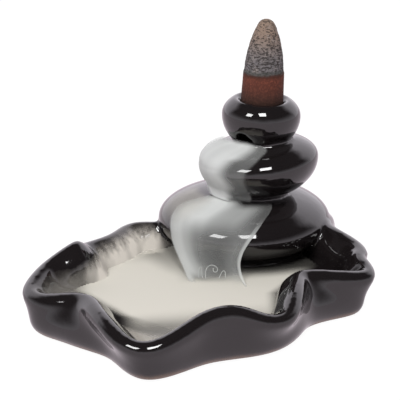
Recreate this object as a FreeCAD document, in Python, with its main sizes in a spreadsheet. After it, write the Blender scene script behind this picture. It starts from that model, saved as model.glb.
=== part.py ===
import FreeCAD
import Part

import math
import os

import Sketcher
from FreeCAD import Placement, Rotation, Vector

# Backflow incense burner, millimetres, +Z up. The dish is laid out round its own middle,
# with the front towards -Y, and the finished pieces are then moved together so that
# the origin is on the table under the middle of the whole burner.

# Driving sizes

SIZES = {
    # Ruffled dish
    "dish_radius": 51.8,
    "rim_level": 14.8,
    "rim_inner_round": 2.8,
    "rim_outer_round": 2.3,
    "rim_drop": 1.5,
    "wall_drop": 4.2,
    "wall_slope": 2.4,
    "wall_swell": 0.6,
    "floor_inset": 14.8,
    "floor_level": 5.0,
    "foot_inset": 3.5,
    "foot_roll": 3.6,
    "recess_inset": 6.0,
    "recess_depth": 1.0,
    # Stack of pebbles, each with a low crown and a deeper underside
    "tower_inset": 23.8,
    "large_right": 13.2,
    "large_level": 15.2,
    "large_radius": 26.6,
    "large_crown": 9.8,
    "large_keel": 11.6,
    "middle_right": 17.5,
    "middle_level": 34.1,
    "middle_radius": 18.3,
    "middle_crown": 7.2,
    "middle_keel": 11.9,
    "middle_tilt": 6.0,
    "top_right": 18.1,
    "top_level": 48.2,
    "top_radius": 12.0,
    "top_crown": 7.2,
    "top_keel": 11.0,
    "top_tilt": 2.4,
    "collar_radius": 17.0,
    "collar_height": 3.5,
    "collar_flare": 1.5,
    # Seat for the cone and the smoke way below it
    "seat_clearance": 0.4,
    "seat_depth": 2.6,
    "seat_lip": 1.2,
    "smoke_bore": 4.0,
    "outlet_bore": 5.0,
    "outlet_drop": 8.0,
    "outlet_azimuth": 237.0,
    "outlet_tilt": 6.0,
    # Incense cone, half burnt
    "cone_radius": 6.5,
    "burn_radius": 6.15,
    "burn_height": 10.2,
    "ash_radius": 6.0,
    "ash_height": 15.9,
    "ash_flank": 37.0,
    "ash_tip": 3.0,
    "cone_bore": 3.6,
    "cone_bore_depth": 18.0,
}

# The ruffles of the dish. Each one is a smooth swell or pinch of the rim. Its angles are the
# direction it lies in and its half width, in degrees. Its lengths say how far it pushes the
# rim out, how far it lifts the rim, and how far it pushes out the edge of the floor and the
# foot.

RUFFLE_ANGLES = {
    "right_lobe": (-14.8, 8.4),
    "right_heel": (-26.0, 9.0),
    "right_pinch": (-29.7, 26.1),
    "front_right_lobe": (-62.7, 10.5),
    "front_pinch": (-79.2, 27.2),
    "front_left_lobe": (-105.2, 11.9),
    "left_pinch": (-137.6, 13.7),
    "left_lobe": (-153.8, 10.9),
    "left_peak": (179.0, 7.4),
    "back_left_pinch": (147.0, 40.8),
    "back_left_dip": (113.1, 12.4),
    "back_lobe": (67.5, 21.5),
    "back_right_peak": (22.6, 15.1),
}
RUFFLE_LENGTHS = {
    "right_lobe": (10.0, -1.5, -2.0, 6.8),
    "right_heel": (0.0, 0.0, 0.0, 2.6),
    "right_pinch": (-18.8, 0.9, -9.0, -10.2),
    "front_right_lobe": (3.3, -3.4, -3.0, 0.1),
    "front_pinch": (-9.4, 1.8, -5.0, -3.4),
    "front_left_lobe": (7.7, -3.9, 0.0, 10.2),
    "left_pinch": (-7.7, -0.1, -2.5, 2.2),
    "left_lobe": (4.4, -2.5, -3.0, 6.2),
    "left_peak": (-4.8, 3.6, -5.5, -1.0),
    "back_left_pinch": (-19.7, -1.2, -13.0, -10.8),
    "back_left_dip": (-11.3, -0.3, -5.0, -7.3),
    "back_lobe": (5.4, -1.0, 2.0, 4.6),
    "back_right_peak": (-9.3, 1.9, -3.0, -4.2),
}

# The profile is drawn at even steps round the dish. Shares of the way from the floor to the
# rim say where the inner wall sags. Shares of the height of the rim say where the outer wall
# leaves the rim and where its belly lies, and the wall rolls under to the foot below that.

STATION_COUNT = 48
SAG_OUTWARD = 0.6
SAG_UPWARD = 0.3
WALL_LEVEL = 0.68
WALL_LEAN = 0.4
BELLY_LEVEL = 0.36
ROLL_SHARE = 1 - math.sqrt(0.5)

# The rounded lip of the seat takes at most this share of the land outside the seat

LIP_SHARE = 1 / 3

UP = Vector(0, 0, 1)
NEAR = 0.01

doc = FreeCAD.newDocument("BackflowIncenseBurner")


def fill_sheet():
    sheet = doc.addObject("Spreadsheet::Sheet", "Sizes")
    cells = dict(SIZES)
    for table, columns in (
        (RUFFLE_ANGLES, ("azimuth", "spread")),
        (RUFFLE_LENGTHS, ("reach", "rise", "floor", "foot")),
    ):
        for ruffle, values in table.items():
            for column, value in zip(columns, values):
                cells[ruffle + "_" + column] = value
    for row, (alias, value) in enumerate(cells.items(), start=1):
        sheet.set("A%d" % row, alias)
        sheet.set("B%d" % row, str(value))
        sheet.setAlias("B%d" % row, alias)
    doc.recompute()
    return sheet


sheet = fill_sheet()


def size(alias):
    return float(sheet.get(alias))


def bind(item, **expressions):
    for name, expression in expressions.items():
        item.setExpression(name.replace("__", "."), expression)


# Dish: one closed surface, drawn through the same profile at each station round the rim

def ruffle_sum(azimuth, column):
    total = 0.0
    for ruffle in RUFFLE_ANGLES:
        away = (azimuth - size(ruffle + "_azimuth") + 180.0) % 360.0 - 180.0
        total += size(ruffle + "_" + column) * math.exp(-((away / size(ruffle + "_spread")) ** 2))
    return total


def polar(radius, azimuth, level):
    angle = math.radians(azimuth)
    return Vector(radius * math.cos(angle), radius * math.sin(angle), level)


def rim_crest(azimuth):
    radius = size("dish_radius") + ruffle_sum(azimuth, "reach")
    return polar(radius, azimuth, size("rim_level") + ruffle_sum(azimuth, "rise"))


def rim_outward(azimuth):
    along = rim_crest(azimuth + 0.5) - rim_crest(azimuth - 0.5)
    return Vector(along.y, -along.x, 0).normalize()


def blend(first, second, share):
    return first + (second - first) * share


def floor_edge(azimuth):
    radius = size("dish_radius") - size("floor_inset") + ruffle_sum(azimuth, "floor")
    return polar(radius, azimuth, size("floor_level"))


def foot_edge(azimuth, inset, level):
    radius = size("dish_radius") - size("foot_inset") + ruffle_sum(azimuth, "foot")
    return polar(radius - inset, azimuth, level)


def profile(azimuth):
    crest = rim_crest(azimuth)
    out = rim_outward(azimuth)
    inner = size("rim_inner_round")
    outer = size("rim_outer_round")
    floor = floor_edge(azimuth)
    inside = crest - out * (inner + size("wall_slope")) - UP * size("wall_drop")
    sag = blend(floor, inside, SAG_OUTWARD)
    sag.z = blend(floor, inside, SAG_UPWARD).z
    belly = foot_edge(azimuth, 0.0, crest.z * BELLY_LEVEL)
    outside = blend(crest + out * (outer + size("wall_swell")), belly, WALL_LEAN)
    outside.z = crest.z * WALL_LEVEL
    roll = foot_edge(azimuth, size("foot_roll") * ROLL_SHARE, belly.z * ROLL_SHARE)
    return [
        floor,
        sag,
        inside,
        crest - out * inner - UP * size("rim_drop"),
        crest,
        crest + out * outer - UP * size("rim_drop"),
        outside,
        belly,
        roll,
        foot_edge(azimuth, size("foot_roll"), 0.0),
    ]


def mean_steps(profiles):
    # how far along the profile each of its points lies, on average round the dish
    steps = [0.0]
    for number in range(1, len(profiles[0])):
        gaps = [points[number].distanceToPoint(points[number - 1]) for points in profiles]
        steps.append(steps[-1] + sum(gaps) / len(gaps))
    return steps


def station_azimuths():
    return [360.0 * station / STATION_COUNT for station in range(STATION_COUNT)]


def ruffled_surface():
    profiles = [profile(azimuth) for azimuth in station_azimuths()]
    steps = mean_steps(profiles)
    across = []
    for azimuth, points in zip(station_azimuths(), profiles):
        outward = polar(1.0, azimuth, 0.0)
        curve = Part.BSplineCurve()
        curve.interpolate(
            Points=points,
            Parameters=steps,
            InitialTangent=outward,
            FinalTangent=outward * -1.0,
            Scale=False,
        )
        across.append(curve)
    around = []
    for number in range(across[0].NbPoles):
        curve = Part.BSplineCurve()
        curve.interpolate(
            Points=[station.getPole(number + 1) for station in across],
            Parameters=[float(station) for station in range(STATION_COUNT + 1)],
            PeriodicFlag=True,
        )
        around.append(curve)
    poles = [[row.getPole(number + 1) for row in around] for number in range(around[0].NbPoles)]
    surface = Part.BSplineSurface()
    surface.buildFromPolesMultsKnots(
        poles,
        around[0].getMultiplicities(),
        across[0].getMultiplicities(),
        around[0].getKnots(),
        across[0].getKnots(),
        True,
        False,
        around[0].Degree,
        across[0].Degree,
    )
    return surface


def add_dish():
    skin = ruffled_surface().toShape()
    loops = [edge for edge in skin.Edges if edge.isClosed() and edge.BoundBox.ZLength < NEAR]
    caps = [Part.Face(Part.Wire([loop])) for loop in loops]
    shell = Part.Shell([skin] + caps)
    shell.sewShape()
    dish = doc.addObject("Part::Feature", "Dish")
    solid = Part.Solid(shell)
    if solid.Volume < 0:
        solid.reverse()
    dish.Shape = solid
    return dish


def add_recess():
    inset = size("foot_roll") + size("recess_inset")
    outline = Part.BSplineCurve()
    outline.interpolate(
        Points=[foot_edge(azimuth, inset, 0.0) for azimuth in station_azimuths()],
        PeriodicFlag=True,
    )
    face = Part.Face(Part.Wire([outline.toShape()]))
    recess = doc.addObject("Part::Feature", "FootRecess")
    recess.Shape = face.extrude(UP * size("recess_depth"))
    return recess


# Tower: flattened pebbles, each a low crown over a deeper keel, luted one on the other

def add_pebble(name, tilt_name=None):
    halves = []
    for half, low, high in (("crown", 0, 90), ("keel", -90, 0)):
        cap = doc.addObject("Part::Ellipsoid", name.capitalize() + half.capitalize())
        cap.Angle1 = low
        cap.Angle2 = high
        bind(
            cap,
            Radius1="Sizes.%s_%s" % (name, half),
            Radius2="Sizes.%s_radius" % name,
            Radius3="Sizes.%s_radius" % name,
        )
        halves.append(cap)
    pebble = doc.addObject("Part::MultiFuse", name.capitalize() + "Pebble")
    pebble.Shapes = halves
    place_on_tower(pebble, name, tilt_name)
    return pebble


def place_on_tower(item, name, tilt_name):
    if tilt_name:
        item.Placement = Placement(Vector(), Rotation(Vector(0, 1, 0), 1.0))
        bind(item, Placement__Rotation__Angle=tilt_name)
    bind(
        item,
        Placement__Base__x="Sizes.%s_right" % name,
        Placement__Base__y="Sizes.dish_radius - Sizes.tower_inset",
        Placement__Base__z="Sizes.%s_level" % name,
    )


def add_collar():
    collar = doc.addObject("Part::Cone", "Collar")
    bind(
        collar,
        Radius1="Sizes.collar_radius + Sizes.collar_flare",
        Radius2="Sizes.collar_radius",
        Height="Sizes.collar_height + Sizes.floor_level / 2",
        Placement__Base__x="Sizes.large_right",
        Placement__Base__y="Sizes.dish_radius - Sizes.tower_inset",
        Placement__Base__z="Sizes.floor_level / 2",
    )
    return collar


doc.recompute()
dish = add_dish()
recess = add_recess()
large = add_pebble("large")
middle = add_pebble("middle", "-Sizes.middle_tilt")
top = add_pebble("top", "Sizes.top_tilt")
collar = add_collar()
doc.recompute()


# Seat and smoke way: all on the leaning axis of the top pebble

def seat_frame():
    lean = Rotation(Vector(0, 1, 0), size("top_tilt"))
    back = size("dish_radius") - size("tower_inset")
    centre = Vector(size("top_right"), back, size("top_level"))
    radius = size("cone_radius") + size("seat_clearance")
    rise = size("top_crown") * math.sqrt(1 - (radius / size("top_radius")) ** 2)
    floor = centre + lean.multVec(Vector(0, 0, rise - size("seat_depth")))
    return Placement(floor, lean)


def add_tool(name, radius, height, placement):
    tool = doc.addObject("Part::Cylinder", name)
    bind(tool, Radius=radius, Height=height)
    tool.Placement = placement
    return tool


seat = seat_frame()
seat_radius = size("cone_radius") + size("seat_clearance")
seat_tool = add_tool("SeatTool", "Sizes.cone_radius + Sizes.seat_clearance", "Sizes.top_crown", seat)

downward = Placement(Vector(), Rotation(Vector(1, 0, 0), 180))
bore_tool = add_tool("SmokeBore", "Sizes.smoke_bore / 2", "Sizes.outlet_drop", seat.multiply(downward))

elbow = seat.multVec(UP * -size("outlet_drop"))
sideways = Rotation(Vector(0, 1, 0), 90 + size("outlet_tilt"))
outward = Placement(elbow, Rotation(UP, size("outlet_azimuth")).multiply(sideways))
outlet_tool = add_tool("SmokeOutlet", "Sizes.outlet_bore / 2", "Sizes.top_radius", outward)
elbow_tool = doc.addObject("Part::Sphere", "SmokeElbow")
bind(elbow_tool, Radius="Sizes.outlet_bore / 2")
elbow_tool.Placement.Base = elbow

# Burner body: glazed in one piece

body_blank = doc.addObject("Part::MultiFuse", "BodyBlank")
body_blank.Shapes = [dish, collar, large, middle, top]
voids = doc.addObject("Part::MultiFuse", "Voids")
voids.Shapes = [seat_tool, bore_tool, outlet_tool, elbow_tool, recess]
pierced = doc.addObject("Part::Cut", "PiercedBody")
pierced.Base = body_blank
pierced.Tool = voids
doc.recompute()


def seat_edges(shape):
    # the sharp edge that the seat leaves in the crown of the top pebble
    found = []
    for number, edge in enumerate(shape.Edges, start=1):
        spots = [seat.inverse().multVec(vertex.Point) for vertex in edge.Vertexes]
        on_wall = all(abs(math.hypot(spot.x, spot.y) - seat_radius) < NEAR for spot in spots)
        if on_wall and all(spot.z > size("seat_depth") / 2 for spot in spots):
            found.append(number)
    return found


land = size("top_radius") - seat_radius
lip = min(size("seat_lip"), land * LIP_SHARE)
burner = doc.addObject("Part::Fillet", "Burner")
burner.Base = pierced
burner.Edges = [(number, lip, lip) for number in seat_edges(pierced.Shape)]
burner.Label = "burner_body"
doc.recompute()


# Incense cone: a moulded cone bored up the middle, burnt down to the ash line

def plane_of(body, role):
    for feature in body.Origin.OriginFeatures:
        if feature.Role == role:
            return feature
    raise ValueError("no origin plane " + role)


def tangent_centre(start, radius, tip_centre, tip_radius):
    # centre of the flank arc through start that runs smoothly into the tip arc
    gap = tip_centre - start
    reach = radius - tip_radius
    along = (radius ** 2 - reach ** 2 + gap.Length ** 2) / (2 * gap.Length)
    across = math.sqrt(radius ** 2 - along ** 2)
    unit = Vector(gap).normalize()
    return start + unit * along + Vector(-unit.y, unit.x, 0) * across


def tie(sketch, kind, places, expression):
    value = sketch.evalExpression(expression)
    number = sketch.addConstraint(Sketcher.Constraint(kind, *places, float(value)))
    sketch.setExpression("Constraints[%d]" % number, expression)


def arc_between(centre, radius, first, last):
    # counterclockwise arc from the point first to the point last
    ends = [math.atan2(point.y - centre.y, point.x - centre.x) for point in (first, last)]
    return Part.ArcOfCircle(Part.Circle(centre, UP, radius), *ends)


def draw_cone(sketch):
    # half section: bore, foot, brown flank, burn ledge, ash flank and rounded tip
    bore = size("cone_bore") / 2
    burn = size("burn_height")
    tip = Vector(0, burn + size("ash_height"), 0)
    corners = [
        tip,
        Vector(0, size("cone_bore_depth"), 0),
        Vector(bore, size("cone_bore_depth"), 0),
        Vector(bore, 0, 0),
        Vector(size("cone_radius"), 0, 0),
        Vector(size("burn_radius"), burn, 0),
        Vector(size("ash_radius"), burn, 0),
    ]
    lines = []
    for first, second in zip(corners, corners[1:]):
        lines.append(sketch.addGeometry(Part.LineSegment(first, second)))
    tip_centre = tip - Vector(0, size("ash_tip"), 0)
    centre = tangent_centre(corners[-1], size("ash_flank"), tip_centre, size("ash_tip"))
    joint = centre + (tip_centre - centre).normalize() * size("ash_flank")
    flank = sketch.addGeometry(arc_between(centre, size("ash_flank"), corners[-1], joint))
    cap = sketch.addGeometry(arc_between(tip_centre, size("ash_tip"), joint, tip))
    return lines, flank, cap


def constrain_cone(sketch, lines, flank, cap):
    axis, bore_end, bore_wall, base, stub, ledge = lines
    rules = [
        Sketcher.Constraint("Coincident", first, 2, second, 1)
        for first, second in zip(lines, lines[1:])
    ]
    rules += [
        Sketcher.Constraint("Coincident", ledge, 2, flank, 1),
        Sketcher.Constraint("Tangent", flank, 2, cap, 1),
        Sketcher.Constraint("Coincident", cap, 2, axis, 1),
        Sketcher.Constraint("PointOnObject", cap, 2, -2),
        Sketcher.Constraint("PointOnObject", cap, 3, -2),
        Sketcher.Constraint("Vertical", axis),
        Sketcher.Constraint("Horizontal", bore_end),
        Sketcher.Constraint("Vertical", bore_wall),
        Sketcher.Constraint("PointOnObject", base, 1, -1),
        Sketcher.Constraint("Horizontal", base),
        Sketcher.Constraint("Horizontal", ledge),
    ]
    sketch.addConstraint(rules)
    tie(sketch, "DistanceX", (-1, 1, bore_wall, 1), "Sizes.cone_bore / 2")
    tie(sketch, "DistanceY", (-1, 1, bore_end, 1), "Sizes.cone_bore_depth")
    tie(sketch, "DistanceX", (-1, 1, base, 2), "Sizes.cone_radius")
    tie(sketch, "DistanceX", (-1, 1, stub, 2), "Sizes.burn_radius")
    tie(sketch, "DistanceY", (-1, 1, stub, 2), "Sizes.burn_height")
    tie(sketch, "DistanceX", (-1, 1, ledge, 2), "Sizes.ash_radius")
    tie(sketch, "DistanceY", (-1, 1, axis, 1), "Sizes.burn_height + Sizes.ash_height")
    tie(sketch, "Radius", (cap,), "Sizes.ash_tip")
    tie(sketch, "Radius", (flank,), "Sizes.ash_flank")


def add_cone():
    cone = doc.addObject("PartDesign::Body", "Cone")
    cone.Label = "incense_cone"
    sketch = cone.newObject("Sketcher::SketchObject", "ConeProfile")
    sketch.AttachmentSupport = (plane_of(cone, "XZ_Plane"), "")
    sketch.MapMode = "FlatFace"
    constrain_cone(sketch, *draw_cone(sketch))
    doc.recompute()
    turned = cone.newObject("PartDesign::Revolution", "ConeTurned")
    turned.Profile = sketch
    turned.ReferenceAxis = (sketch, ["V_Axis"])
    turned.Angle = 360
    doc.recompute()
    return cone


cone = add_cone()

# Frame: the origin goes under the middle of the whole burner

box = burner.Shape.optimalBoundingBox(False, False)
to_middle = Vector(-box.Center.x, -box.Center.y, -box.ZMin)
burner.Placement = Placement(to_middle, Rotation())
cone.Placement = Placement(to_middle, Rotation()).multiply(seat)
doc.recompute()

# Check and write the pieces

for item in doc.Objects:
    if "Invalid" in item.State or "Error" in item.State:
        raise RuntimeError("failed feature: " + item.Name)

os.makedirs("parts", exist_ok=True)
for piece in (burner, cone):
    if piece.Shape.isNull() or not piece.Shape.isValid():
        raise RuntimeError("unsound solid: " + piece.Label)
    piece.Shape.exportStep("parts/" + piece.Label + ".step")
    print(piece.Label, len(piece.Shape.Solids), "solid", round(piece.Shape.Volume, 1), "mm3")
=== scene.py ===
import math

import bpy
import numpy as np
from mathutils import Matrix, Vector, noise
from mathutils.bvhtree import BVHTree


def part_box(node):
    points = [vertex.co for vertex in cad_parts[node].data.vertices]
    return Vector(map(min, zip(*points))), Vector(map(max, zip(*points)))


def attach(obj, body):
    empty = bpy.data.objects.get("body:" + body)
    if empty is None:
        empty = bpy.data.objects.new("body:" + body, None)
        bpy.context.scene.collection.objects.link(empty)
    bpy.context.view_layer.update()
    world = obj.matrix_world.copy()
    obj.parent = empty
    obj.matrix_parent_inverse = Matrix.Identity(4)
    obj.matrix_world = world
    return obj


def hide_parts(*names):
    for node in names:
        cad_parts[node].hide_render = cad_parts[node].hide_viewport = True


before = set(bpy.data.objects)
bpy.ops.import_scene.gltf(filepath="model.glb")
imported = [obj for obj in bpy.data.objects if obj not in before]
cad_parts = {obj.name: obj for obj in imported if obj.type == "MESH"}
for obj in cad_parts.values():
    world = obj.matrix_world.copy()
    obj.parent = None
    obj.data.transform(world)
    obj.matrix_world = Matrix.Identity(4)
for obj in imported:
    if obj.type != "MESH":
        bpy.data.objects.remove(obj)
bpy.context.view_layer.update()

# Lengths are in metres, apart from the smoke's, which are in mm
MM = 0.001


scene = bpy.context.scene
scene.view_settings.view_transform = "Standard"


# Node and mesh helpers

MIX_SHARE, MIX_FIRST, MIX_SECOND, MIX_RESULT = 0, 6, 7, 2


class Nodes:
    """Builds a node tree with short calls: each call adds a node and wires its inputs."""

    def __init__(self, tree):
        self.tree = tree
        tree.nodes.clear()

    def add(self, kind, inputs=None, **settings):
        """A node of this kind. An input is a value, or an output of another node."""
        node = self.tree.nodes.new(kind)
        for name, value in settings.items():
            setattr(node, name, value)
        for name, value in (inputs or {}).items():
            if isinstance(value, bpy.types.NodeSocket):
                self.tree.links.new(value, node.inputs[name])
            else:
                node.inputs[name].default_value = value
        return node

    def math(self, operation, first, second):
        return self.add("ShaderNodeMath", {0: first, 1: second}, operation=operation).outputs[0]

    def noise(self, scale, detail, roughness=0.5, vector=None):
        inputs = {"Scale": scale, "Detail": detail, "Roughness": roughness}
        inputs["Vector"] = vector or self.position()
        return self.add("ShaderNodeTexNoise", inputs).outputs["Fac"]

    def position(self):
        return self.add("ShaderNodeTexCoord").outputs["Object"]

    def stretched(self, scale):
        return self.add("ShaderNodeMapping", {"Vector": self.position(), "Scale": scale}).outputs[0]

    def axis(self, name, vector=None):
        return self.add("ShaderNodeSeparateXYZ", {0: vector or self.position()}).outputs[name]

    def ramp(self, value, low, high, start=0.0, end=1.0):
        """Runs smoothly from start to end while the value runs from low to high, or down to it."""
        inputs = {"Value": value, "From Min": low, "From Max": high, "To Min": start, "To Max": end}
        return self.add("ShaderNodeMapRange", inputs, interpolation_type="SMOOTHSTEP").outputs[0]

    def mix(self, share, first, second):
        """The first colour where the share is 0 and the second where it is 1."""
        inputs = {MIX_SHARE: share}
        for number, colour in ((MIX_FIRST, first), (MIX_SECOND, second)):
            inputs[number] = colour if isinstance(colour, bpy.types.NodeSocket) else (*colour, 1.0)
        return self.add("ShaderNodeMix", inputs, data_type="RGBA").outputs[MIX_RESULT]

    def mix_shader(self, share, first, second):
        return self.add("ShaderNodeMixShader", {0: share, 1: first, 2: second}).outputs[0]

    def bump(self, height, distance, strength=1.0):
        inputs = {"Height": height, "Distance": distance, "Strength": strength}
        return self.add("ShaderNodeBump", inputs).outputs[0]

    def output(self, shader, kind="ShaderNodeOutputMaterial"):
        self.add(kind, {"Surface": shader})


def new_material(name):
    material = bpy.data.materials.new(name)
    material.use_nodes = True
    return material, Nodes(material.node_tree)


def dress(obj, material):
    obj.data.materials.clear()
    obj.data.materials.append(material)


def new_mesh(name, points, faces):
    mesh = bpy.data.meshes.new(name)
    mesh.from_pydata([tuple(point) for point in points], [], [tuple(face) for face in faces])
    mesh.update()
    obj = bpy.data.objects.new(name, mesh)
    scene.collection.objects.link(obj)
    for polygon in mesh.polygons:
        polygon.use_smooth = True
    return obj


# Camera, fitted to the photo: in front of the burner, looking down on it

CAMERA_SPOT = (-0.00012, -0.3718, 0.1672)
LOOK_DOWN = 20.15
PHOTO_PIXELS = 400.0
FOCAL_PIXELS = 1373.0
SENSOR_WIDTH = 36.0


def add_camera():
    camera = bpy.data.objects.new("camera", bpy.data.cameras.new("camera"))
    scene.collection.objects.link(camera)
    scene.camera = camera
    camera.location = CAMERA_SPOT
    camera.rotation_euler = (math.radians(90.0 - LOOK_DOWN), 0.0, 0.0)
    camera.data.sensor_width = SENSOR_WIDTH
    camera.data.lens = SENSOR_WIDTH * FOCAL_PIXELS / PHOTO_PIXELS
    camera.data.clip_start = 0.01
    camera.data.clip_end = 20.0


# Studio: white table and white wall behind, a dark room in front, two lamps overhead

DARK_ROOM = (0.050, 0.048, 0.052)
LIT_WALL = (1.45, 1.38, 1.48)
FLOOR_REACH = 4.0
FLOOR_MATT = (0.86, 0.85, 0.85)
FLOOR_SEEN = (1.07, 1.07, 1.07)
FLOOR_MIRRORED = (1.02, 0.90, 0.98)
FLOOR_GLOW = 0.90
FLOOR_BOUNCE = 0.5
LAMP_SIZE = 0.26
LAMP_DISTANCE = 0.9
LAMP_AIM = Vector((0.0, 0.0, 0.03))
LAMPS = [
    ("lamp_right", (0.08, -0.50, 0.86), 4.5),
    ("lamp_left", (-0.48, -0.46, 0.745), 3.75),
]


def studio_world():
    """A bright wall behind the burner and a sweep up from the table. The camera sees white."""
    world = bpy.data.worlds.new("studio")
    scene.world = world
    world.use_nodes = True
    tree = Nodes(world.node_tree)
    direction = tree.add("ShaderNodeTexCoord").outputs["Generated"]
    behind = tree.ramp(tree.axis("Y", direction), 0.12, 0.50)
    low = tree.ramp(tree.axis("Z", direction), 0.80, 0.62)
    wall = tree.math("MULTIPLY", behind, low)
    sweep = tree.ramp(tree.axis("Z", direction), 0.55, 0.02, 0.0, 0.75)
    colour = tree.mix(tree.math("MAXIMUM", wall, sweep), DARK_ROOM, LIT_WALL)
    room = tree.add("ShaderNodeBackground", {"Color": colour, "Strength": 1.0}).outputs[0]
    white = tree.add("ShaderNodeBackground", {"Color": (1, 1, 1, 1), "Strength": 1.0}).outputs[0]
    seen = tree.add("ShaderNodeLightPath").outputs["Is Camera Ray"]
    tree.output(tree.mix_shader(seen, room, white), "ShaderNodeOutputWorld")


def add_floor():
    """A table that looks white, shows as white in the glaze and throws some light back up."""
    reach = FLOOR_REACH
    corners = [(-reach, -reach, 0), (reach, -reach, 0), (reach, reach, 0), (-reach, reach, 0)]
    floor = new_mesh("floor", corners, [(0, 1, 2, 3)])
    material, tree = new_material("floor")
    matt = tree.add("ShaderNodeBsdfDiffuse", {"Color": (*FLOOR_MATT, 1.0)}).outputs[0]
    path = tree.add("ShaderNodeLightPath")
    tint = tree.mix(path.outputs["Is Camera Ray"], FLOOR_MIRRORED, FLOOR_SEEN)
    glow = tree.add("ShaderNodeEmission", {"Color": tint, "Strength": 1.0}).outputs[0]
    seen = tree.math("MAXIMUM", path.outputs["Is Camera Ray"], path.outputs["Is Glossy Ray"])
    glowing = tree.math("MULTIPLY", seen, FLOOR_GLOW)
    bounced = tree.math("MULTIPLY", path.outputs["Is Diffuse Ray"], FLOOR_BOUNCE)
    tree.output(tree.mix_shader(tree.math("MAXIMUM", glowing, bounced), matt, glow))
    dress(floor, material)


def add_lamp(name, direction, power):
    light = bpy.data.lights.new(name, "AREA")
    light.shape = "RECTANGLE"
    light.size = LAMP_SIZE
    light.size_y = LAMP_SIZE
    light.energy = power
    lamp = bpy.data.objects.new(name, light)
    scene.collection.objects.link(lamp)
    direction = Vector(direction).normalized()
    lamp.location = direction * LAMP_DISTANCE + LAMP_AIM
    lamp.rotation_euler = direction.to_track_quat("Z", "Y").to_euler()


add_camera()
studio_world()
add_floor()
for lamp_name, lamp_direction, lamp_power in LAMPS:
    add_lamp(lamp_name, lamp_direction, lamp_power)


# Dressed copies of the CAD nodes

def even_copy(node, name, voxel, passes):
    """The node's mesh in even quads, its sharp edges and creases softened by a few passes."""
    draft = bpy.data.objects.new(name + "_draft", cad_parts[node].data.copy())
    scene.collection.objects.link(draft)
    remesh = draft.modifiers.new("even", "REMESH")
    remesh.mode = "VOXEL"
    remesh.voxel_size = voxel
    remesh.use_smooth_shade = True
    soften = draft.modifiers.new("soften", "SMOOTH")
    soften.factor = 0.5
    soften.iterations = passes
    evaluated = draft.evaluated_get(bpy.context.evaluated_depsgraph_get())
    made = bpy.data.meshes.new_from_object(evaluated)
    bpy.data.objects.remove(draft)
    piece = bpy.data.objects.new(name, made)
    scene.collection.objects.link(piece)
    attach(piece, "root")
    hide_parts(node)
    return piece


# Black glaze over clay: thin and brown where it breaks at the foot

GLAZE_DARK = (0.0075, 0.0060, 0.0062)
GLAZE_LIGHT = (0.0115, 0.0092, 0.0095)
CLAY_DARK = (0.085, 0.045, 0.022)
CLAY_LIGHT = (0.16, 0.095, 0.05)
GLAZED_FROM, BARE_BELOW = 0.0036, 0.0014
EDGE_WANDER = 0.0016
GLAZE_ROUGHNESS, CLAY_ROUGHNESS = 0.055, 0.4
GLAZE_IOR = 1.58
GLAZE_RIPPLE = 0.00006
BURNER_VOXEL = 0.0006
BURNER_SOFTENING = 6


def glaze_material():
    material, tree = new_material("black_glaze")
    pooled = tree.mix(tree.noise(60.0, 3.0), GLAZE_DARK, GLAZE_LIGHT)
    wander = tree.math("MULTIPLY", tree.noise(140.0, 3.0), EDGE_WANDER)
    worn = tree.ramp(tree.math("ADD", tree.axis("Z"), wander), GLAZED_FROM, BARE_BELOW)
    clay = tree.mix(tree.noise(900.0, 3.0, 0.7), CLAY_DARK, CLAY_LIGHT)
    shader = tree.add("ShaderNodeBsdfPrincipled", {
        "Base Color": tree.mix(worn, pooled, clay),
        "Roughness": tree.ramp(worn, 0.0, 1.0, GLAZE_ROUGHNESS, CLAY_ROUGHNESS),
        "IOR": GLAZE_IOR,
        "Normal": tree.bump(tree.noise(220.0, 2.0), GLAZE_RIPPLE),
    })
    tree.output(shader.outputs[0])
    return material


burner = even_copy("burner_body", "glazed_burner", BURNER_VOXEL, BURNER_SOFTENING)
dress(burner, glaze_material())


# Incense cone: grey ash down to the burn line, brown incense below it

CONE_FOOT, CONE_TIP = (Vector(corner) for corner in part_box("incense_cone"))
BURN_LINE = 0.0102
ASH_GREY = (0.150, 0.140, 0.142)
ASH_TAN = (0.235, 0.172, 0.132)
ASH_PALE = (0.29, 0.255, 0.230)
ASH_CRACK = (0.026, 0.022, 0.020)
ASH_SPECK = (0.030, 0.022, 0.020)
ASH_RING = (0.050, 0.052, 0.047)
CHAR = (0.045, 0.018, 0.012)
STUB_FOOT = (0.052, 0.024, 0.017)
STUB_TOP = (0.150, 0.044, 0.027)
STUB_GRAIN = (0.02, 0.01, 0.008)
CONE_VOXEL = 0.0002
CONE_SOFTENING = 1
ASH_RELIEF = 0.00025
CRUMBLE_DEPTH = 0.00018


def band(tree, level, start, full, fading, end):
    """A soft band round the burn line, its four levels given from there."""
    rising = tree.ramp(level, BURN_LINE + start, BURN_LINE + full)
    return tree.math("MULTIPLY", rising, tree.ramp(level, BURN_LINE + end, BURN_LINE + fading))


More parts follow.
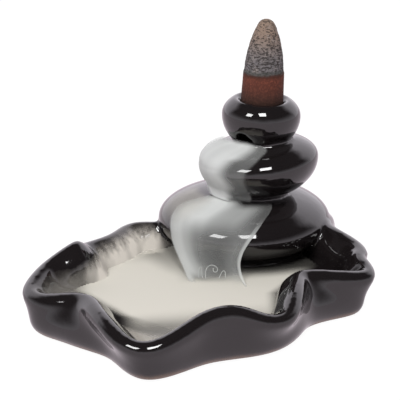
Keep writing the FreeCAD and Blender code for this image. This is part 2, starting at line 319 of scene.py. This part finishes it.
def incense_material():
    material, tree = new_material("incense")
    up = tree.math("SUBTRACT", tree.axis("Z"), CONE_FOOT.z)
    fine = tree.noise(1500.0, 4.0, 0.75)
    coarse = tree.noise(420.0, 3.0, 0.6)
    flakes = tree.noise(1.0, 3.0, 0.6, tree.stretched((950.0, 950.0, 2300.0)))
    ash = tree.mix(tree.ramp(up, 0.0135, 0.0240), ASH_GREY, ASH_TAN)
    pale = tree.mix(tree.ramp(coarse, 0.50, 0.72, 0.0, 0.6), ash, ASH_PALE)
    crackle = tree.math("SUBTRACT", flakes, tree.ramp(up, 0.023, 0.014, 0.0, 0.035))
    flaked = tree.mix(tree.ramp(crackle, 0.49, 0.42, 0.0, 0.85), pale, ASH_CRACK)
    speckled = tree.mix(tree.ramp(fine, 0.47, 0.38, 0.0, 0.8), flaked, ASH_SPECK)
    stub = tree.mix(tree.ramp(up, 0.001, 0.009), STUB_FOOT, STUB_TOP)
    grained = tree.mix(tree.ramp(fine, 0.46, 0.62), tree.mix(0.45, stub, STUB_GRAIN), stub)
    wander = tree.math("MULTIPLY", tree.math("SUBTRACT", coarse, 0.5), EDGE_WANDER)
    ragged = tree.math("ADD", up, wander)
    burnt = tree.ramp(ragged, BURN_LINE - 0.0002, BURN_LINE + 0.0002)
    char = band(tree, ragged, -0.0011, -0.0001, 0.0001, 0.0007)
    ring = band(tree, ragged, 0.0001, 0.0004, 0.0009, 0.0017)
    ashen = tree.mix(tree.math("MULTIPLY", ring, 0.7), speckled, ASH_RING)
    whole = tree.mix(burnt, grained, ashen)
    shader = tree.add("ShaderNodeBsdfPrincipled", {
        "Base Color": tree.mix(tree.math("MULTIPLY", char, 0.75), whole, CHAR),
        "Roughness": 0.92,
        "Specular IOR Level": 0.25,
        "Normal": tree.bump(tree.noise(1100.0, 5.0, 0.7), ASH_RELIEF, 0.8),
    })
    tree.output(shader.outputs[0])
    return material


def crumble(piece, depth):
    """Wears small hollows into the ash and slight ones below it, never past the moulded surface."""
    centre = (CONE_FOOT + CONE_TIP) / 2
    for vertex in piece.data.vertices:
        up = vertex.co.z - CONE_FOOT.z
        share = min(max((up - BURN_LINE) / 0.001, 0.15), 1.0)
        rough = noise.fractal(vertex.co * 700.0, 0.7, 2.0, 4) * 0.5 + 0.5
        inward = Vector((centre.x - vertex.co.x, centre.y - vertex.co.y, 0.0))
        if inward.length > 0.001:
            vertex.co += inward.normalized() * depth * share * min(max(rough, 0.0), 1.0)


cone = even_copy("incense_cone", "burnt_cone", CONE_VOXEL, CONE_SOFTENING)
crumble(cone, CRUMBLE_DEPTH)
dress(cone, incense_material())


# Smoke, staged as the floor is, because it is no piece of the burner

# It runs from the outlet over the pebbles and lies in the dish. Each row of a film is the
# distance from the axis of its pebble, the level, and the directions in degrees of its left and
# right edge. A curl is a line of directions and levels on the large film.

LARGE_AXIS = (13.1, 28.1)
MIDDLE_AXIS = (17.5, 28.1)
MIDDLE_FILM = [
    (9.6, 42.6, 226, 248), (9.2, 41.6, 205, 266), (9.8, 40.8, 165, 284), (11.2, 40.1, 150, 285),
    (13.6, 39.0, 146, 274), (16.0, 37.4, 146, 266), (17.7, 35.2, 148, 259), (18.0, 33.5, 150, 258),
    (17.6, 31.0, 155, 259), (16.5, 28.6, 165, 262), (15.6, 26.8, 180, 264), (16.0, 25.0, 198, 262),
]
LARGE_FILM = [
    (11.6, 25.3, 218, 286), (13.0, 24.7, 212, 296), (15.0, 23.9, 205, 305), (18.0, 22.9, 199, 296),
    (21.0, 21.6, 197, 286), (24.6, 19.5, 205, 278), (26.6, 17.2, 212, 273), (27.2, 15.2, 215, 270),
    (28.0, 13.4, 219, 268), (29.3, 11.2, 226, 267), (31.5, 9.0, 234, 268), (34.5, 7.2, 240, 270),
    (37.0, 6.2, 243, 272),
]
CROWN_FILM = [
    (12.6, 24.9, 160, 238), (18.0, 23.0, 166, 236), (22.0, 21.2, 174, 232), (25.0, 19.3, 184, 228),
    (26.8, 17.0, 194, 222), (27.2, 15.0, 200, 218),
]
CURLS = [
    [(246.3, 7.7), (244.3, 9.0), (244.6, 10.0), (246.3, 9.6), (246.4, 8.7), (248.3, 7.8)],
    [(250.0, 7.7), (248.2, 9.2), (248.9, 10.3), (251.6, 10.7), (254.1, 10.3), (255.3, 9.6),
     (254.3, 9.0), (252.4, 9.2), (252.3, 9.9)],
    [(256.6, 8.0), (257.2, 9.2), (258.2, 10.0), (259.6, 9.3), (259.8, 8.1)],
]
FILM_ROWS, FILM_COLUMNS = 90, 110
ROUNDING_PASSES = 10
PALE_SMOKE = (0.75, 0.77, 0.75)
WARM_SMOKE = (0.67, 0.645, 0.575)
BROWN_SMOKE = (0.66, 0.615, 0.55)

burner_tree = BVHTree.FromPolygons(
    [vertex.co for vertex in burner.data.vertices],
    [polygon.vertices for polygon in burner.data.polygons])


def smooth_step(value, low, high):
    """Runs smoothly from 0 to 1 while the value runs from low to high, or down to it."""
    share = np.clip((value - low) / (high - low), 0.0, 1.0)
    return share * share * (3.0 - 2.0 * share)


def even_rows(rows):
    """The same rows at even steps along the film, their corners rounded off."""
    rows = np.array(rows, dtype=float)
    steps = np.hypot(np.diff(rows[:, 0]), np.diff(rows[:, 1]))
    along = np.concatenate([[0.0], np.cumsum(steps)])
    even = np.linspace(0.0, along[-1], FILM_ROWS)
    dense = np.stack([np.interp(even, along, column) for column in rows.T], axis=1)
    for _ in range(ROUNDING_PASSES):
        dense[1:-1] = (dense[:-2] + 2.0 * dense[1:-1] + dense[2:]) / 4.0
    return dense


def grid_faces(rows, columns):
    return [
        (row * columns + column, row * columns + column + 1,
         (row + 1) * columns + column + 1, (row + 1) * columns + column)
        for row in range(rows - 1) for column in range(columns - 1)
    ]


def kept_faces(faces, kept):
    """The faces whose corners are all kept, with the corners counted among those kept."""
    number = (np.cumsum(kept) - 1).tolist()
    kept = kept.tolist()
    return [
        [number[corner] for corner in face]
        for face in faces if all(kept[corner] for corner in face)
    ]


def smoke_material(name, colour, backlit, wispy=0.0):
    """Matt smoke, as dense as its mesh says. Above the pool, wispy breaks it up into fibres."""
    material, tree = new_material(name)
    density = tree.add("ShaderNodeAttribute", attribute_name="smoke_share").outputs["Fac"]
    fibres = tree.noise(1.0, 3.0, 0.6, tree.stretched((420.0, 420.0, 55.0)))
    thinned = tree.ramp(fibres, 0.32, 0.68, -wispy, wispy)
    higher = tree.ramp(tree.axis("Z"), 0.0078, 0.0125)
    change = tree.math("ADD", 1.0, tree.math("MULTIPLY", thinned, higher))
    density = tree.math("MULTIPLY", density, change)
    matt = tree.add("ShaderNodeBsdfDiffuse", {"Color": (*colour, 1.0)}).outputs[0]
    through = tree.add("ShaderNodeBsdfTranslucent", {"Color": (*colour, 1.0)}).outputs[0]
    lit = tree.mix_shader(backlit, matt, through)
    clear = tree.add("ShaderNodeBsdfTransparent").outputs[0]
    tree.output(tree.mix_shader(density, clear, lit))
    return material


def add_smoke(name, points, faces, density, material):
    smoke = new_mesh(name, np.array(points) * MM, faces)
    values = smoke.data.attributes.new("smoke_share", "FLOAT", "POINT")
    values.data.foreach_set("value", np.clip(density, 0.0, 1.0).astype(np.float32))
    dress(smoke, material)
    return smoke


# Films that fall over the pebbles, and the curls at their end

# From this level up, rays from outside the pebbles find where a film has to be pushed out to
# lie just off them. Where that is further than the limit, the film stays as drawn.
PEBBLES_FROM = 16.5
OUTSIDE_PEBBLES = 45.0
FILM_GAP = 0.25
PUSH_LIMIT = 3.0

CURL_GAP = 0.1
CURL_RADIUS = 0.11
CURL_DENSITY = 0.50


def streaks(across, down, seed):
    return np.array([
        noise.noise(Vector((side * 5.0, fall * 1.3, seed)))
        + 0.5 * noise.noise(Vector((side * 14.0, fall * 1.9, seed)))
        for side, fall in zip(across, down)
    ])


def clear_radius(radius, level, azimuth, axis):
    """The same radius, made larger where the film would be in the pebbles or touch them."""
    clear = radius.copy()
    for number in np.argwhere(level > PEBBLES_FROM).ravel():
        out = Vector((np.cos(azimuth[number]), np.sin(azimuth[number]), 0.0))
        centre = Vector((axis[0], axis[1], level[number]))
        hit = burner_tree.ray_cast((centre + out * OUTSIDE_PEBBLES) * MM, -out)[0]
        if hit is not None:
            surface = (hit / MM - centre).dot(out) + FILM_GAP
            if surface < radius[number] + PUSH_LIMIT:
                clear[number] = max(radius[number], surface)
    return clear


def add_film(name, rows, axis, shade, material, seed):
    """A sheet of smoke. Across and down it, places run from 0 at the left and top to 1."""
    across = np.tile(np.linspace(0.0, 1.0, FILM_COLUMNS), FILM_ROWS)
    down = np.repeat(np.linspace(0.0, 1.0, FILM_ROWS), FILM_COLUMNS)
    radius, level, left, right = np.repeat(even_rows(rows), FILM_COLUMNS, axis=0).T
    azimuth = np.radians(left + (right - left) * across)
    radius = clear_radius(radius, level, azimuth, axis)
    x, y = axis[0] + radius * np.cos(azimuth), axis[1] + radius * np.sin(azimuth)
    density = shade(across, down) * (1.0 + 0.12 * streaks(across, down, seed))
    faces = grid_faces(FILM_ROWS, FILM_COLUMNS)
    add_smoke(name, np.stack([x, y, level], axis=1), faces, density, material)


def middle_shade(across, down):
    """Dense on the left, and thin on the right, where the pebble shows through."""
    lower = smooth_step(down, 0.76, 0.94)
    waist = smooth_step(down, 0.30, 0.42) * smooth_step(down, 0.72, 0.58)
    side = 0.80 - 0.06 * waist - 0.15 * lower
    thin = 0.08 + 0.10 * smooth_step(across, 0.985, 0.95) * smooth_step(down, 0.3, 0.5)
    thin += 0.16 * smooth_step(down, 0.48, 0.30)
    core = 0.97 - 0.12 * smooth_step(down, 0.45, 0.62) * (1.0 - lower)
    body = thin + (core - thin) * smooth_step(across, side + 0.10, side - 0.09)
    sides = smooth_step(across, 0.0, 0.26) * smooth_step(across, 1.0, 0.96)
    corner = 1.0 - smooth_step(down, 0.92, 1.0) * smooth_step(across, 0.50, 0.68)
    return body * smooth_step(down, 0.0, 0.10) * sides * corner


def large_shade(across, down):
    """Dense on the pebble's crown, then a fall with bright edges that end in points."""
    crown = smooth_step(across, -0.09, 0.25)
    crown -= 0.45 * smooth_step(across, 0.40, 0.62) + 0.40 * smooth_step(across, 0.72, 0.95)
    crown *= 1.0 - smooth_step(across, 0.50, 0.70) * smooth_step(down, 0.18, 0.06)
    left_edge = np.exp(-(((across - 0.13) / 0.23) ** 2))
    fall = 0.20 + 0.56 * left_edge + 0.08 * smooth_step(across, 0.70, 0.92)
    fall += 0.42 * smooth_step(across, 0.945, 0.975)
    body = crown + (fall - crown) * smooth_step(down, 0.26, 0.54)
    edges = smooth_step(across, 0.20, 0.08) + smooth_step(across, 0.94, 0.98)
    end = smooth_step(down, 0.95, 0.83) * (1.0 - edges) + edges * smooth_step(down, 1.0, 0.90)
    return body * smooth_step(down, 0.0, 0.06) * end * smooth_step(across, 0.0, 0.05)


def crown_shade(across, down):
    """Faint, and fading out on every side."""
    sides = smooth_step(across, 0.0, 0.25) * smooth_step(across, 1.0, 0.70)
    return 0.26 * sides * smooth_step(down, 0.0, 0.15) * smooth_step(down, 0.95, 0.45)


def add_curl(number, turns, material):
    """A thin thread of smoke that rolls up where the fall meets the pool."""
    azimuth, level = np.array(turns).T
    film = even_rows(LARGE_FILM)
    radius = np.interp(-level, -film[:, 1], film[:, 0]) + CURL_GAP
    curve = bpy.data.curves.new("curl", "CURVE")
    curve.dimensions = "3D"
    curve.bevel_depth = CURL_RADIUS * MM
    curve.bevel_resolution = 2
    spline = curve.splines.new("NURBS")
    spline.points.add(len(turns) - 1)
    for point, away, angle, up in zip(spline.points, radius, np.radians(azimuth), level):
        x, y = LARGE_AXIS[0] + away * np.cos(angle), LARGE_AXIS[1] + away * np.sin(angle)
        point.co = (x * MM, y * MM, up * MM, 1.0)
    spline.use_endpoint_u = True
    spline.order_u = 4
    line = bpy.data.objects.new("curl_line", curve)
    scene.collection.objects.link(line)
    mesh = bpy.data.meshes.new_from_object(line)
    bpy.data.objects.remove(line)
    points = [tuple(vertex.co / MM) for vertex in mesh.vertices]
    faces = [tuple(polygon.vertices) for polygon in mesh.polygons]
    add_smoke(f"smoke_curl_{number}", points, faces, np.full(len(points), CURL_DENSITY), material)


# Level pool in the dish, and the haze on the dish's inner wall, which on the left lobe is painted
# sheen as well as smoke

# The pool is flooded from its start over cells that reach past the dish. The dish's level is
# found by rays that start past its top and go on past each surface.
POOL_LEVEL = 6.8
POOL_START = (-5.0, -20.0)
POOL_CELL = 0.8
PAST_DISH = (54.0, 60.0)
PAST_TOP = 60.0
PAST_SURFACE = 0.02

PEBBLE_REACH = 27.5
HAZE_GAP = 0.3
HAZE_LEVELS = (5.0, 14.6)


def dish_levels(x, y):
    """Level of the lowest upward surface over each point, in mm, or nothing beside the burner."""
    levels = np.full(x.shape, np.nan)
    for spot in np.ndindex(x.shape):
        start = Vector((x[spot], y[spot], PAST_TOP)) * MM
        while True:
            hit, normal = burner_tree.ray_cast(start, Vector((0.0, 0.0, -1.0)))[:2]
            if hit is None:
                break
            if normal.z > 0.1:
                levels[spot] = hit.z / MM
            start = hit - Vector((0.0, 0.0, PAST_SURFACE * MM))
    return levels


def flooded(levels, limit, start):
    """Cells that join the start without passing a place where the dish is above the limit."""
    inside = np.zeros(levels.shape, dtype=bool)
    queue = [start]
    while queue:
        row, column = queue.pop()
        if inside[row, column] or not levels[row, column] < limit:
            continue
        inside[row, column] = True
        queue += [(row + 1, column), (row - 1, column), (row, column + 1), (row, column - 1)]
    return inside


def lumps(x, y, z, scale):
    return np.array([noise.noise(Vector(spot)) for spot in zip(x * scale, y * scale, z * scale)])


def tower_side(x, y):
    """How near a spot is to the left foot of the large pebble."""
    away = np.hypot(x - LARGE_AXIS[0], y - LARGE_AXIS[1])
    return smooth_step(away, PEBBLE_REACH + 8.0, PEBBLE_REACH) * smooth_step(x, 4.0, -4.0)


def pool_density(x, y, depth):
    """Dense in the middle of the dish, and thinner towards its edge and the pebbles."""
    lobes = lumps(x, y, np.full(len(x), 30.0), 0.1)
    density = 0.97 * smooth_step(depth, 0.0, 0.9)
    left = smooth_step(0.723 * (x + 39.5) + 0.692 * (y + 8.0) + 1.5 * lobes, -1.5, 3.0)
    density *= np.maximum(left, 0.85 * smooth_step(x + 2.0 * lobes, -22.5, -15.0))
    density *= smooth_step(x + 1.5 * lobes, -38.5, -31.0)
    density *= 1.0 - 0.70 * smooth_step(y - 0.17 * x + 2.0 * lobes, -21.0, -37.0)
    density *= smooth_step(x - 0.62 * np.maximum(y + 12.0, 0.0), 23.5, 18.0)
    back = smooth_step(y + 0.3 - 0.2 * (x - 6.0) + 1.2 * lobes, -4.5, 3.5)
    density *= 1.0 - 0.92 * back * smooth_step(x, -8.0, 3.0)
    density *= (1.0 - 0.4 * tower_side(x, y)) * (1.0 - 0.25 * smooth_step(y, 8.0, 18.0))
    return density


def add_pool(material):
    """The level smoke in the bottom of the dish."""
    (past_x, past_y), (start_x, start_y) = PAST_DISH, POOL_START
    x, y = np.meshgrid(np.arange(-past_x, past_x, POOL_CELL), np.arange(-past_y, past_y, POOL_CELL))
    levels = dish_levels(x, y)
    start = (int((start_y + past_y) / POOL_CELL), int((start_x + past_x) / POOL_CELL))
    inside = flooded(levels, POOL_LEVEL, start)
    faces = kept_faces(grid_faces(*levels.shape), inside.ravel())
    x, y, depth = x[inside], y[inside], POOL_LEVEL - levels[inside]
    points = np.stack([x, y, np.full(len(x), POOL_LEVEL)], axis=1)
    add_smoke("smoke_pool", points, faces, pool_density(x, y, depth), material)


def haze_density(spots, normals):
    """Densest at the back left, weaker at the front and left, and on the inner wall only. On the left
    lobe it is painted sheen on the glaze as well as faint smoke.
    """
    x, y, z = spots.T
    out = (normals[:, 0] * x + normals[:, 1] * y) / np.maximum(np.hypot(x, y), 1.0)
    across, along = x - LARGE_AXIS[0], y - LARGE_AXIS[1]
    outward = normals[:, 0] * across + normals[:, 1] * along > 0.0
    tower = (np.hypot(across, along) < PEBBLE_REACH) & outward
    low, high = HAZE_LEVELS
    near = (z > low) & (z < high) & (out < 0.35) & (normals[:, 2] > -0.5) & ~tower
    x, y, z = x[near], y[near], z[near]
    azimuth = np.degrees(np.arctan2(y, x)) % 360.0
    wisps = lumps(x + 0.5 * y, 0.4 * (y - 0.5 * x), 0.3 * z, 0.3)
    behind = smooth_step(azimuth, 108.0, 126.0) * smooth_step(azimuth, 205.0, 182.0)
    back = 0.97 * behind * smooth_step(z, 14.2, 8.6) * (1.0 + 0.45 * wisps)
    back *= smooth_step(x - 0.25 * y, -36.0, -28.5)
    front = 0.48 * smooth_step(azimuth, 233.0, 247.0) * smooth_step(z, 11.0, 6.6)
    front *= smooth_step(y, -22.0, -34.0)
    # Faint smoke on the left lobe's inner wall, which also paints the glaze's soft grey sheen there
    left = 0.22 * smooth_step(azimuth, 172.0, 186.0) * smooth_step(azimuth, 226.0, 212.0)
    left *= smooth_step(z, 13.5, 7.0)
    density = np.zeros(len(spots))
    density[near] = np.maximum.reduce([back, front, left]) * smooth_step(z, low, low + 0.6)
    return density


def add_haze(material):
    """A thin veil just off the inner wall, lit as if it lay level, so that no ruffle shades it. On
    the left lobe the veil is painted sheen on the glaze as well as smoke.
    """
    mesh = burner.data
    spots = np.array([vertex.co for vertex in mesh.vertices]) / MM
    normals = np.array([vertex.normal for vertex in mesh.vertices])
    density = haze_density(spots, normals)
    used = density > 0.01
    faces = kept_faces([polygon.vertices for polygon in mesh.polygons], used)
    veil = add_smoke("smoke_haze_and_sheen", (spots + HAZE_GAP * normals)[used], faces, density[used], material)
    level = 0.15 * normals[used] + np.array([0.0, 0.0, 1.0])
    level /= np.linalg.norm(level, axis=1)[:, None]
    veil.data.normals_split_custom_set_from_vertices(level.tolist())


pale_smoke = smoke_material("pale_smoke", PALE_SMOKE, 0.3)
warm_smoke = smoke_material("warm_smoke", WARM_SMOKE, 0.0)
add_film("smoke_middle", MIDDLE_FILM, MIDDLE_AXIS, middle_shade, pale_smoke, 1.0)
add_film("smoke_large", LARGE_FILM, LARGE_AXIS, large_shade, pale_smoke, 2.0)
add_film("smoke_crown", CROWN_FILM, LARGE_AXIS, crown_shade, warm_smoke, 4.0)
add_pool(warm_smoke)
add_haze(smoke_material("brown_smoke_and_sheen", BROWN_SMOKE, 0.0, 0.5))
for curl_number, curl_turns in enumerate(CURLS):
    add_curl(curl_number, curl_turns, pale_smoke)
